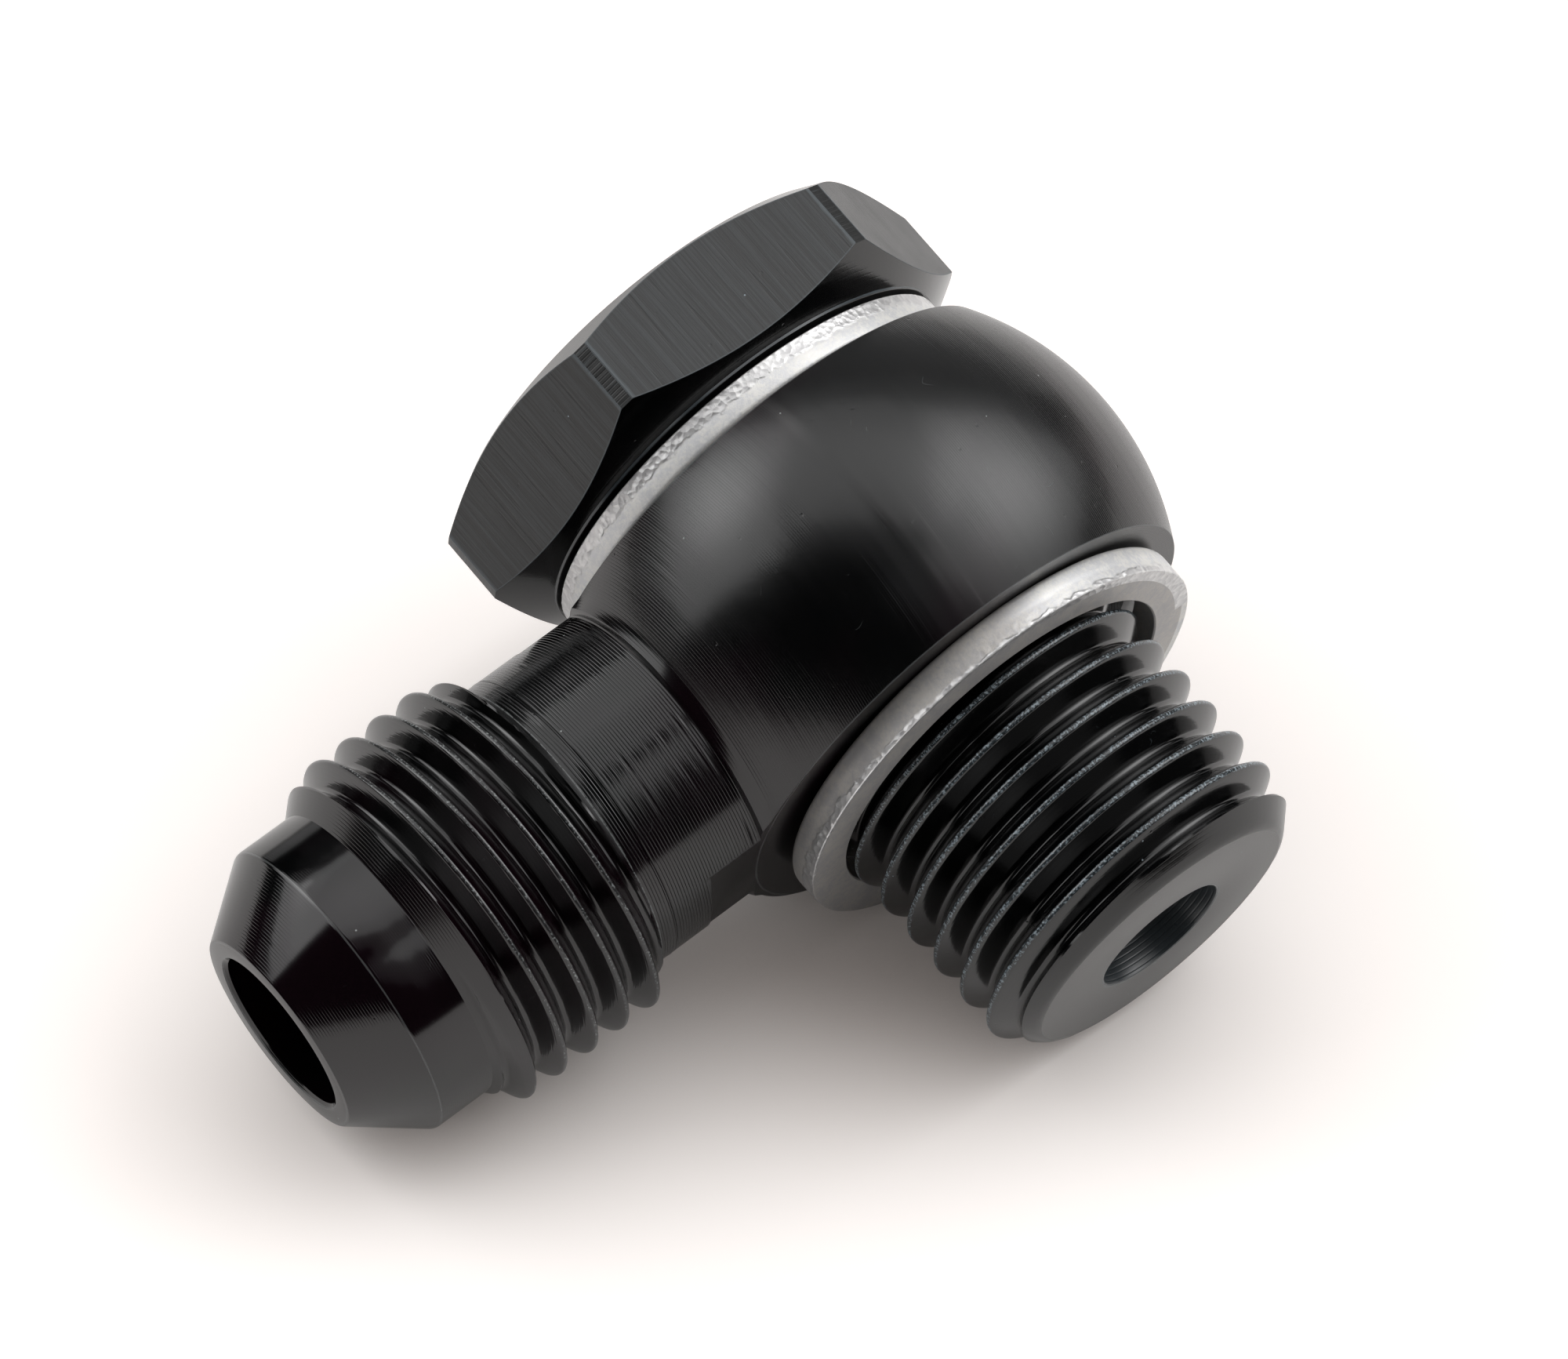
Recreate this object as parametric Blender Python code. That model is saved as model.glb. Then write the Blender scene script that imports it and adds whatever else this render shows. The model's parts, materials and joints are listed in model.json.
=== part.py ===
"""Banjo fitting: a 9/16-18 flare adapter on a ball-shaped eye, its M14 x 1.5 banjo bolt and two
crush washers. Metres, +Z up, lying on the ground as it comes to rest."""

import math

import bmesh
import bpy
from mathutils import Matrix, Vector

MM = 0.001

# Driving dimensions. The fitting's own frame has its origin where the two axes cross, +X along
# the bolt from head to tip, and -Y along the stem from eye to nose.
BALL_RADIUS = 11.25 * MM          # ball of the eye
EYE_THICKNESS = 11.0 * MM         # between the two spot faces
SPOT_FACE_MARGIN = 1.05 * MM      # sweep of the facing cutter past the ball
EYE_BORE_CHAMFER = 0.35 * MM

STEM_THREAD_RADIUS = 7.14 * MM    # 9/16 inch
STEM_THREAD_LENGTH = 6.0 * MM     # full thread, without its chamfers
RUN_OUT_SLOPE = 0.6               # length of the thread's run-out for each unit of radius
NECK_RELIEF = 1.14 * MM           # crests to neck
NECK_LENGTH = 5.15 * MM           # shoulder to run-out
SHOULDER_STEP = 0.55 * MM         # shoulder's height over the neck
SHOULDER_STAND = 0.30 * MM        # how far the shoulder stands out of the ball
SHOULDER_SLOPE = 0.3 * MM         # length of the shoulder's chamfer down to the neck
FLARE_RADIUS = 3.0 * MM           # fillet between the ball and the shoulder
PILOT_STEP = 1.09 * MM            # crests to the plain land in front of the thread
PILOT_LENGTH = 2.3 * MM
NOSE_ANGLE = math.radians(37.0)   # flare seat
NOSE_LIP = 0.90 * MM              # ring left flat round the bore
NOSE_EDGE = 0.12 * MM             # edge breaks of the nose
STEM_BORE_RADIUS = 3.16 * MM
STEM_BORE_CHAMFER = 0.15 * MM
DRILL_POINT = math.radians(59.0)  # half the angle of a drill's point

BOLT_THREAD_RADIUS = 6.9 * MM     # M14 x 1.5, crests a little under size
BOLT_SHANK_LENGTH = 23.79 * MM    # from under the head
BOLT_TIP_CHAMFER = 1.16 * MM
BOLT_CLEARANCE = 0.3 * MM         # round the bolt in the eye
WAIST_DEPTH = 1.6 * MM            # groove that carries the flow round the bolt
WAIST_LENGTH = 7.4 * MM
BOLT_BORE_RADIUS = 2.6 * MM
BOLT_BORE_EDGE = 0.12 * MM
BOLT_BORE_PAST_CENTRE = 7.0 * MM  # full bore goes this far past the cross holes
CROSS_HOLE_RADIUS = 2.0 * MM

HEAD_ACROSS_FLATS = 19.0 * MM
HEAD_CORNER_CUT = 0.17 * MM       # turned off the hexagon's corners
HEAD_CORNER_LENGTH = 2.75 * MM    # turned corner, along the axis
HEAD_TOP_SLOPE = 0.62             # rise of the chamfer for each unit of radius
HEAD_SEAT_SLOPE = 0.58
HEAD_TOP_MARGIN = 0.2 * MM        # flats to the edge of the top face
HEAD_DISH_RADIUS = 7.2 * MM       # recess turned into the top, with a 45 degree wall
HEAD_DISH_DEPTH = 1.8 * MM
HEAD_DISH_CORNER = 0.6 * MM
HEAD_TURN = math.radians(-2.3)    # how the bolt happens to be turned in the eye
COLLAR_MARGIN = 0.6 * MM          # flats to the washer face under the head
COLLAR_HEIGHT = 0.12 * MM
COLLAR_FILLET = 0.25 * MM         # between the washer face and the shank

WASHER_CLEARANCE = 0.35 * MM      # round the bolt
WASHER_WIDTH = 1.6 * MM           # hole to rim
WASHER_THICKNESS = 1.3 * MM
WASHER_ROLLOVER = 0.22 * MM       # rounded edge that the punch leaves on one side
WASHER_BREAK = 0.07 * MM          # broken edge on the other side
WASHER_LAND = 0.5                 # sheared share of the wall, the rest is torn
WASHER_TEAR = 0.06 * MM           # how far the torn part stands in

FACE_GAP = 0.22 * MM              # play left on each face of a washer
SEGMENTS = 72                     # facets round each turned piece

# Sizes that follow from them, so that what fits together stays together.
FACE_REACH = EYE_THICKNESS / 2
SPOT_FACE_RADIUS = BALL_RADIUS + SPOT_FACE_MARGIN
EYE_BORE_RADIUS = BOLT_THREAD_RADIUS + BOLT_CLEARANCE
NECK_RADIUS = STEM_THREAD_RADIUS - NECK_RELIEF
SHOULDER_RADIUS = NECK_RADIUS + SHOULDER_STEP
SHOULDER_REACH = math.sqrt(BALL_RADIUS ** 2 - SHOULDER_RADIUS ** 2) + SHOULDER_STAND
NECK_REACH = SHOULDER_REACH + NECK_LENGTH
THREAD_START = NECK_REACH + NECK_RELIEF * RUN_OUT_SLOPE
THREAD_END = THREAD_START + STEM_THREAD_LENGTH
PILOT_RADIUS = STEM_THREAD_RADIUS - PILOT_STEP
NOSE_TIP_RADIUS = STEM_BORE_RADIUS + NOSE_LIP
WASHER_HOLE_RADIUS = BOLT_THREAD_RADIUS + WASHER_CLEARANCE
WASHER_RADIUS = WASHER_HOLE_RADIUS + WASHER_WIDTH
COLLAR_REACH = FACE_REACH + WASHER_THICKNESS + 2 * FACE_GAP
COLLAR_RADIUS = HEAD_ACROSS_FLATS / 2 - COLLAR_MARGIN
HEAD_TOP_RADIUS = HEAD_ACROSS_FLATS / 2 - HEAD_TOP_MARGIN
HEAD_CORNER_RADIUS = HEAD_ACROSS_FLATS / math.sqrt(3) - HEAD_CORNER_CUT
WAIST_RADIUS = BOLT_THREAD_RADIUS - WAIST_DEPTH
BOLT_TIP_RADIUS = BOLT_THREAD_RADIUS - BOLT_TIP_CHAMFER
BOLT_TIP_REACH = BOLT_SHANK_LENGTH - COLLAR_REACH
FULL_THREAD_REACH = BOLT_TIP_REACH - BOLT_TIP_CHAMFER


def arc(centre, radius, start, end, steps):
    """Points on a circle in the (axial, radial) plane, from one angle to another."""
    turns = [start + (end - start) * step / steps for step in range(steps + 1)]
    return [(centre[0] + radius * math.cos(turn), centre[1] + radius * math.sin(turn)) for turn in turns]


def lathe(name, outline, direction):
    """Turns a closed (axial, radial) outline about the origin, with its axis along direction."""
    mesh = bmesh.new()
    points = [mesh.verts.new((radial, 0.0, axial)) for axial, radial in outline]
    edges = [mesh.edges.new(pair) for pair in zip(points, points[1:] + points[:1])]
    bmesh.ops.spin(mesh, geom=points + edges, axis=(0, 0, 1), cent=(0, 0, 0),
                   angle=math.tau, steps=SEGMENTS, use_merge=True)
    bmesh.ops.remove_doubles(mesh, verts=mesh.verts, dist=1e-7)
    bmesh.ops.dissolve_degenerate(mesh, edges=mesh.edges, dist=1e-7)
    loose = [vert for vert in mesh.verts if not vert.link_faces]
    bmesh.ops.delete(mesh, geom=loose, context="VERTS")
    bmesh.ops.recalc_face_normals(mesh, faces=mesh.faces)
    turn = Vector((0, 0, 1)).rotation_difference(Vector(direction)).to_matrix().to_4x4()
    mesh.transform(turn)
    return finished(name, mesh)


def rod(name, radius, length, direction, sides=SEGMENTS, middle=(0, 0, 0), turn=0.0):
    """A bar centred on a point, along direction, which serves as a cutter."""
    mesh = bmesh.new()
    bmesh.ops.create_cone(mesh, cap_ends=True, segments=sides, radius1=radius, radius2=radius, depth=length)
    spin = Matrix.Rotation(turn, 4, "Z")
    aim = Vector((0, 0, 1)).rotation_difference(Vector(direction)).to_matrix().to_4x4()
    mesh.transform(Matrix.Translation(middle) @ aim @ spin)
    return finished(name, mesh)


def finished(name, mesh):
    """Puts a bmesh into a new object of the scene."""
    data = bpy.data.meshes.new(name)
    mesh.to_mesh(data)
    mesh.free()
    piece = bpy.data.objects.new(name, data)
    bpy.context.scene.collection.objects.link(piece)
    return piece


def cut(piece, cutter, operation="DIFFERENCE"):
    """Adds a Boolean modifier and keeps its cutter out of sight."""
    cutter.hide_render = True
    cutter.display_type = "WIRE"
    cutter.parent = piece
    boolean = piece.modifiers.new(cutter.name, "BOOLEAN")
    boolean.operation = operation
    boolean.object = cutter


def dress(piece, colour, roughness):
    """Gives a piece its own metal and shades it smooth between sharp edges."""
    metal = bpy.data.materials.new(piece.name)
    metal.use_nodes = True
    shader = metal.node_tree.nodes["Principled BSDF"]
    shader.inputs["Base Color"].default_value = (*colour, 1.0)
    shader.inputs["Metallic"].default_value = 1.0
    shader.inputs["Roughness"].default_value = roughness
    piece.data.materials.append(metal)
    piece.data.shade_smooth()
    piece.data.set_sharp_from_angle(angle=math.radians(25))


def eye_outline():
    """Ball, flare, shoulder, neck, thread envelope and 37 degree nose, then back up the bore."""
    # The flare's circle touches the ball and passes through the shoulder's edge.
    shoulder_span = math.hypot(SHOULDER_REACH, SHOULDER_RADIUS)
    centre_span = BALL_RADIUS + FLARE_RADIUS
    squares = centre_span ** 2 + shoulder_span ** 2 - FLARE_RADIUS ** 2
    spread = math.acos(squares / (2 * centre_span * shoulder_span))
    tangent = math.atan2(SHOULDER_RADIUS, SHOULDER_REACH) + spread
    flare_centre = (centre_span * math.cos(tangent), centre_span * math.sin(tangent))
    flare_end = math.atan2(SHOULDER_RADIUS - flare_centre[1], SHOULDER_REACH - flare_centre[0])
    ball = arc((0, 0), BALL_RADIUS, math.pi, tangent, 30)
    flare = arc(flare_centre, FLARE_RADIUS, tangent - math.pi, flare_end, 5)[1:]

    pilot_start = THREAD_END + PILOT_STEP
    nose_start = pilot_start + PILOT_LENGTH
    nose_end = nose_start + (PILOT_RADIUS - NOSE_TIP_RADIUS) / math.tan(NOSE_ANGLE)
    lean = NOSE_EDGE * math.cos(NOSE_ANGLE), NOSE_EDGE * math.sin(NOSE_ANGLE)
    stem = [
        (SHOULDER_REACH + SHOULDER_SLOPE, NECK_RADIUS),
        (NECK_REACH, NECK_RADIUS),
        (THREAD_START, STEM_THREAD_RADIUS),
        (THREAD_END, STEM_THREAD_RADIUS),
        (pilot_start, PILOT_RADIUS),
        (nose_start - NOSE_EDGE, PILOT_RADIUS),
        (nose_start + lean[0], PILOT_RADIUS - lean[1]),
        (nose_end - lean[0], NOSE_TIP_RADIUS + lean[1]),
        (nose_end, NOSE_TIP_RADIUS - NOSE_EDGE),
        (nose_end, STEM_BORE_RADIUS + STEM_BORE_CHAMFER),
        (nose_end - STEM_BORE_CHAMFER, STEM_BORE_RADIUS),
    ]
    # The bore is drilled into the bolt's hole and ends in its drill point inside it.
    drill_point = [(0.0, STEM_BORE_RADIUS), (-STEM_BORE_RADIUS / math.tan(DRILL_POINT), 0.0)]
    return ball + flare + stem + drill_point


def make_eye():
    eye = lathe("banjo_eye", eye_outline(), (0, -1, 0))
    for side, name in ((-1, "head_side_facing"), (1, "port_side_facing")):
        middle = (side * (FACE_REACH + BALL_RADIUS), 0, 0)
        cut(eye, rod(name, SPOT_FACE_RADIUS, 2 * BALL_RADIUS, (1, 0, 0), middle=middle))
    mouth = EYE_BORE_RADIUS + EYE_BORE_CHAMFER
    half = FACE_REACH
    hole = [
        (-BALL_RADIUS, 0.0), (-BALL_RADIUS, mouth), (-half, mouth),
        (EYE_BORE_CHAMFER - half, EYE_BORE_RADIUS), (half - EYE_BORE_CHAMFER, EYE_BORE_RADIUS),
        (half, mouth), (BALL_RADIUS, mouth), (BALL_RADIUS, 0.0),
    ]
    cut(eye, lathe("bolt_hole", hole, (1, 0, 0)))
    dress(eye, (0.045, 0.047, 0.05), 0.38)
    return eye


def bolt_outline():
    """Dished head blank, collar, shank, waist, thread envelope and tip, then back up the bore."""
    collar_start = -COLLAR_REACH - COLLAR_HEIGHT
    corner_end = collar_start - HEAD_SEAT_SLOPE * (HEAD_CORNER_RADIUS - COLLAR_RADIUS)
    corner_start = corner_end - HEAD_CORNER_LENGTH
    top = corner_start - HEAD_TOP_SLOPE * (HEAD_CORNER_RADIUS - HEAD_TOP_RADIUS)
    waist = WAIST_LENGTH / 2
    bore_end = -BOLT_BORE_PAST_CENTRE

    dish_floor = top + HEAD_DISH_DEPTH
    floor_edge = HEAD_DISH_RADIUS - HEAD_DISH_DEPTH - HEAD_DISH_CORNER * math.tan(math.pi / 8)
    dish_corner = (dish_floor - HEAD_DISH_CORNER, floor_edge)
    shank_corner = (COLLAR_FILLET - COLLAR_REACH, BOLT_THREAD_RADIUS + COLLAR_FILLET)
    return [
        (dish_floor, 0.0),
        *arc(dish_corner, HEAD_DISH_CORNER, 0.0, math.pi / 4, 3),
        (top, HEAD_DISH_RADIUS),
        (top, HEAD_TOP_RADIUS),
        (corner_start, HEAD_CORNER_RADIUS),
        (corner_end, HEAD_CORNER_RADIUS),
        (collar_start, COLLAR_RADIUS),
        (-COLLAR_REACH, COLLAR_RADIUS),
        *arc(shank_corner, COLLAR_FILLET, -math.pi, -math.pi / 2, 3),
        (-waist - WAIST_DEPTH, BOLT_THREAD_RADIUS),
        (-waist, WAIST_RADIUS),
        (waist, WAIST_RADIUS),
        (waist + WAIST_DEPTH, BOLT_THREAD_RADIUS),
        (FULL_THREAD_REACH, BOLT_THREAD_RADIUS),
        (BOLT_TIP_REACH, BOLT_TIP_RADIUS),
        (BOLT_TIP_REACH, BOLT_BORE_RADIUS + BOLT_BORE_EDGE),
        (BOLT_TIP_REACH - BOLT_BORE_EDGE, BOLT_BORE_RADIUS),
        (bore_end, BOLT_BORE_RADIUS),
        (bore_end - BOLT_BORE_RADIUS / math.tan(DRILL_POINT), 0.0),
    ]


def make_bolt():
    bolt = lathe("banjo_bolt", bolt_outline(), (1, 0, 0))
    corner = HEAD_ACROSS_FLATS / math.sqrt(3)
    length = 4 * (BOLT_TIP_REACH + COLLAR_REACH)
    hexagon = rod("hexagon", corner, length, (1, 0, 0), sides=6, turn=HEAD_TURN)
    cut(bolt, hexagon, "INTERSECT")
    # The cross holes are drilled square to the flats.
    for name, turn in (("cross_hole_a", HEAD_TURN), ("cross_hole_b", HEAD_TURN + math.pi / 2)):
        direction = (0, -math.sin(turn), math.cos(turn))
        cut(bolt, rod(name, CROSS_HOLE_RADIUS, 4 * WAIST_RADIUS, direction, sides=26))
    dress(bolt, (0.04, 0.042, 0.046), 0.4)
    return bolt


def washer_outline(start, towards):
    """A blanked ring: rounded on the punch side, then a sheared land and a torn edge."""
    def place(depth):
        return start + towards * depth

    bend = (WASHER_ROLLOVER, WASHER_RADIUS - WASHER_ROLLOVER)
    edge = arc(bend, WASHER_ROLLOVER, math.pi, math.pi / 2, 4)
    outer = [(place(depth), radius) for depth, radius in edge]
    land = WASHER_ROLLOVER + (WASHER_THICKNESS - WASHER_ROLLOVER) * WASHER_LAND
    outer += [
        (place(land), WASHER_RADIUS),
        (place(land + WASHER_TEAR), WASHER_RADIUS - WASHER_TEAR),
        (place(WASHER_THICKNESS - WASHER_BREAK), WASHER_RADIUS - WASHER_TEAR),
        (place(WASHER_THICKNESS), WASHER_RADIUS - WASHER_TEAR - WASHER_BREAK),
    ]
    inner = [
        (place(WASHER_THICKNESS), WASHER_HOLE_RADIUS + WASHER_BREAK),
        (place(WASHER_THICKNESS - WASHER_BREAK), WASHER_HOLE_RADIUS),
        (place(WASHER_BREAK), WASHER_HOLE_RADIUS),
        (place(0.0), WASHER_HOLE_RADIUS + WASHER_BREAK),
    ]
    return outer + inner


def make_washer(name, start, towards):
    """A washer whose punched face is at start on the bolt's axis and looks away from towards."""
    washer = lathe(name, washer_outline(start, towards), (1, 0, 0))
    dress(washer, (0.80, 0.80, 0.79), 0.3)
    return washer


def dip(reach, radius):
    """Angle below level of an axis that leaves the ball's centre, when the ball and a round
    shoulder of this radius at this reach stand on the same ground."""
    return math.asin(BALL_RADIUS / math.hypot(reach, radius)) - math.atan2(radius, reach)


def resting_turn():
    """Rotation from the fitting's frame to the ground: ball, stem thread and bolt end touch it,
    and the stem lies in the YZ plane."""
    up = Vector((-math.sin(dip(FULL_THREAD_REACH, BOLT_THREAD_RADIUS)),
                 math.sin(dip(THREAD_END, STEM_THREAD_RADIUS)), 0.0))
    up.z = math.sqrt(1.0 - up.length_squared)
    right = Vector((0, 1, 0)).cross(up).normalized()
    return Matrix((right, up.cross(right), up)).to_4x4()


def stand_on_ground(rest, pieces):
    """Moves everything so that its box is centred on the origin and its lowest point is at 0."""
    bpy.context.view_layer.update()
    graph = bpy.context.evaluated_depsgraph_get()
    corners = []
    for piece in pieces:
        shape = piece.evaluated_get(graph)
        corners += [shape.matrix_world @ vert.co for vert in shape.to_mesh().vertices]
        shape.to_mesh_clear()
    low = Vector([min(corner[axis] for corner in corners) for axis in range(3)])
    high = Vector([max(corner[axis] for corner in corners) for axis in range(3)])
    middle = (low + high) / 2
    rest.matrix_world = Matrix.Translation((-middle.x, -middle.y, -low.z)) @ rest.matrix_world


def main():
    for leftover in list(bpy.data.objects):
        bpy.data.objects.remove(leftover)
    rest = bpy.data.objects.new("rest", None)
    rest.matrix_world = resting_turn()
    bolt_axis = bpy.data.objects.new("bolt_axis", None)
    bolt_axis.parent = rest
    for empty in (rest, bolt_axis):
        bpy.context.scene.collection.objects.link(empty)

    eye = make_eye()
    eye.parent = rest
    gap = FACE_REACH + FACE_GAP
    turning = [
        make_bolt(),
        make_washer("head_washer", -gap, -1),
        make_washer("seat_washer", gap, 1),
    ]
    for piece in turning:
        piece.parent = bolt_axis
    stand_on_ground(rest, [eye, *turning])


main()
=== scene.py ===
# Black anodised banjo fitting on a pale table.
# Everything is modelled in millimetres along the fitting's own axes and then put in place.
import json
import math
import random

import bmesh
import bpy
from mathutils import Matrix, Vector, noise


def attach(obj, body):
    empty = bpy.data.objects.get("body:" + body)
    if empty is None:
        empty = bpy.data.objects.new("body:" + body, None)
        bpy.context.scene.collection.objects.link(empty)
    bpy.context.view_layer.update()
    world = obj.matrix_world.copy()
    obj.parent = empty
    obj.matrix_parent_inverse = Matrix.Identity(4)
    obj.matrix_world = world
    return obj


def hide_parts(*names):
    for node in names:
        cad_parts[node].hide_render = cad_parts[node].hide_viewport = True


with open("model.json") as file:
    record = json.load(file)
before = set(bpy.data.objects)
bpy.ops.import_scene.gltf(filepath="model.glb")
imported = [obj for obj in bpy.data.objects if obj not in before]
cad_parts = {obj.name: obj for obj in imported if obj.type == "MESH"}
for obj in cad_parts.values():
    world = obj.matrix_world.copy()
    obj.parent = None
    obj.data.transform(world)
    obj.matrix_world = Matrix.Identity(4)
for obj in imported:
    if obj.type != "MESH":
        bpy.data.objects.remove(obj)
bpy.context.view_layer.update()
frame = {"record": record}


# Own axes: x runs along the bolt from head to tip, and the stem points to -y.
def fittingAxes(record):
    joint = record["behaviour"]["joints"][0]
    hoseEnd = next(mount for mount in record["mounts"] if mount["name"] == "hose_end_face")
    x = Vector(joint["axis"]).normalized()
    y = -Vector(hoseEnd["axis"]).normalized()
    turn = Matrix((x, y, x.cross(y))).transposed().to_4x4()
    return Matrix.Translation(joint["pos_m"]) @ turn


ownAxes = fittingAxes(frame["record"])
place = ownAxes @ Matrix.Scale(0.001, 4)
alongBolt = Matrix(((0, 0, 1, 0), (1, 0, 0, 0), (0, 1, 0, 0), (0, 0, 0, 1)))
alongStem = Matrix(((1, 0, 0, 0), (0, 0, -1, 0), (0, 1, 0, 0), (0, 0, 0, 1)))


# Turned shapes, drawn as (along, radius) outlines

def arc(centre, radius, start, end, steps):
    turns = [math.radians(start + (end - start) * step / steps) for step in range(steps + 1)]
    return [(centre[0] + radius * math.cos(turn), centre[1] + radius * math.sin(turn)) for turn in turns]


def between(table, value):
    if value <= table[0][0]:
        return table[0][1]
    for (x0, y0), (x1, y1) in zip(table, table[1:]):
        if value <= x1:
            return y0 + (y1 - y0) * (value - x0) / (x1 - x0)
    return table[-1][1]


def addTurned(mesh, outline, steps, closed=False):
    points = [mesh.verts.new((radius, 0, along)) for along, radius in outline]
    pairs = list(zip(points, points[1:]))
    if closed:
        pairs.append((points[-1], points[0]))
    edges = [mesh.edges.new(pair) for pair in pairs]
    bmesh.ops.spin(mesh, geom=points + edges, axis=(0, 0, 1), cent=(0, 0, 0), dvec=(0, 0, 0),
                   angle=math.tau, steps=steps, use_merge=True, use_duplicate=False)


# A thread is one chain of several pitches, spun with a rise and then trimmed to its envelope
def addThread(mesh, thread, steps):
    helix = bmesh.new()
    pitch, phase = thread["pitch"], thread["phase"]
    start, end = thread["envelope"][0][0], thread["envelope"][-1][0]
    half = [offset for offset, drop in thread["profile"]]
    offsets = half + [pitch - offset for offset in reversed(half[1:-1])]
    first = math.floor((start - phase) / pitch) - 1
    last = math.ceil((end - phase) / pitch)
    chain = [phase + turn * pitch + offset for turn in range(first, last) for offset in offsets]
    points = [helix.verts.new((thread["crest"], 0, along)) for along in chain]
    edges = [helix.edges.new(pair) for pair in zip(points, points[1:])]
    bmesh.ops.spin(helix, geom=points + edges, axis=(0, 0, 1), cent=(0, 0, 0), dvec=(0, 0, pitch / steps),
                   angle=math.tau, steps=steps, use_merge=False, use_duplicate=False)
    for vert in helix.verts:
        turn = math.atan2(vert.co.y, vert.co.x)
        lead = (vert.co.z - phase) / pitch - turn / math.tau
        fromCrest = abs(lead - round(lead)) * pitch
        along = min(max(vert.co.z, start), end)
        cut = thread["crest"] - between(thread["profile"], fromCrest)
        radius = min(cut, between(thread["envelope"], along))
        vert.co = (radius * math.cos(turn), radius * math.sin(turn), along)
    bmesh.ops.remove_doubles(helix, verts=helix.verts, dist=1e-4)
    bmesh.ops.dissolve_degenerate(helix, edges=helix.edges, dist=1e-5)
    shell = bpy.data.meshes.new("thread")
    helix.to_mesh(shell)
    helix.free()
    mesh.from_mesh(shell)
    bpy.data.meshes.remove(shell)


def closeUp(mesh):
    bmesh.ops.remove_doubles(mesh, verts=mesh.verts, dist=1e-4)
    bmesh.ops.dissolve_degenerate(mesh, edges=mesh.edges, dist=1e-6)
    loose = [vert for vert in mesh.verts if not vert.link_faces]
    bmesh.ops.delete(mesh, geom=loose, context="VERTS")
    bmesh.ops.recalc_face_normals(mesh, faces=mesh.faces)


def toObject(name, mesh, turn=Matrix()):
    mesh.transform(turn)
    data = bpy.data.meshes.new(name)
    mesh.to_mesh(data)
    mesh.free()
    piece = bpy.data.objects.new(name, data)
    bpy.context.scene.collection.objects.link(piece)
    return piece


def rodCutter(name, radius, length, middle, turn, sides=96):
    mesh = bmesh.new()
    bmesh.ops.create_cone(mesh, cap_ends=True, segments=sides, radius1=radius, radius2=radius, depth=length)
    return toObject(name, mesh, Matrix.Translation(middle) @ turn)


def cutAway(piece, cutters):
    for cutter in cutters:
        boolean = piece.modifiers.new(cutter.name, "BOOLEAN")
        boolean.operation = "DIFFERENCE"
        boolean.solver = "EXACT"
        boolean.object = cutter
    shown = piece.evaluated_get(bpy.context.evaluated_depsgraph_get())
    cutMesh = bpy.data.meshes.new_from_object(shown)
    piece.modifiers.clear()
    old = piece.data
    piece.data = cutMesh
    bpy.data.meshes.remove(old)
    for cutter in cutters:
        bpy.data.objects.remove(cutter)


smoothUnder = math.radians(26.5)    # edges that bend more stay sharp


def finishPiece(piece, node, body, material):
    piece.data.transform(place)
    piece.data.materials.clear()
    piece.data.materials.append(material)
    piece.data.shade_smooth()
    piece.data.set_sharp_from_angle(angle=smoothUnder)
    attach(piece, body)
    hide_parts(node)
    print(piece.name, len(piece.data.polygons), "faces")


# Node groups that several materials share

def newGroup(name, inputs, outputs):
    group = bpy.data.node_groups.new(name, "ShaderNodeTree")
    for label, kind, value in inputs:
        socket = group.interface.new_socket(label, in_out="INPUT", socket_type=kind)
        socket.default_value = value
    for label, kind in outputs:
        group.interface.new_socket(label, in_out="OUTPUT", socket_type=kind)
    return group, group.nodes.new("NodeGroupInput").outputs, group.nodes.new("NodeGroupOutput").inputs


def feed(tree, socket, value):
    if isinstance(value, bpy.types.NodeSocket):
        tree.links.new(value, socket)
    else:
        socket.default_value = value


def calc(tree, operation, first, second=None, third=None):
    node = tree.nodes.new("ShaderNodeMath")
    node.operation = operation
    for socket, value in zip(node.inputs, (first, second, third)):
        if value is not None:
            feed(tree, socket, value)
    return node.outputs[0]


def ramp(tree, value, low, high, fromLow=0.0, fromHigh=1.0):
    node = tree.nodes.new("ShaderNodeMapRange")
    node.interpolation_type = "SMOOTHSTEP"
    for name, amount in (("Value", value), ("From Min", low), ("From Max", high),
                         ("To Min", fromLow), ("To Max", fromHigh)):
        feed(tree, node.inputs[name], amount)
    return node.outputs["Result"]


def blend(tree, factor, low, high):
    node = tree.nodes.new("ShaderNodeMix")
    node.data_type = "RGBA"
    for socket, value in ((node.inputs["Factor"], factor), (node.inputs["A"], low), (node.inputs["B"], high)):
        feed(tree, socket, value)
    return node.outputs["Result"]


def bandNoise(tree, along, scale, detail):
    node = tree.nodes.new("ShaderNodeTexNoise")
    node.noise_dimensions = "1D"
    feed(tree, node.inputs["W"], along)
    node.inputs["Scale"].default_value = scale
    node.inputs["Detail"].default_value = detail
    return node.outputs["Fac"]


def cloudNoise(tree, vector, scale, detail, roughness=0.5):
    node = tree.nodes.new("ShaderNodeTexNoise")
    feed(tree, node.inputs["Vector"], vector)
    node.inputs["Scale"].default_value = scale
    node.inputs["Detail"].default_value = detail
    node.inputs["Roughness"].default_value = roughness
    return node.outputs["Fac"]


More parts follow.
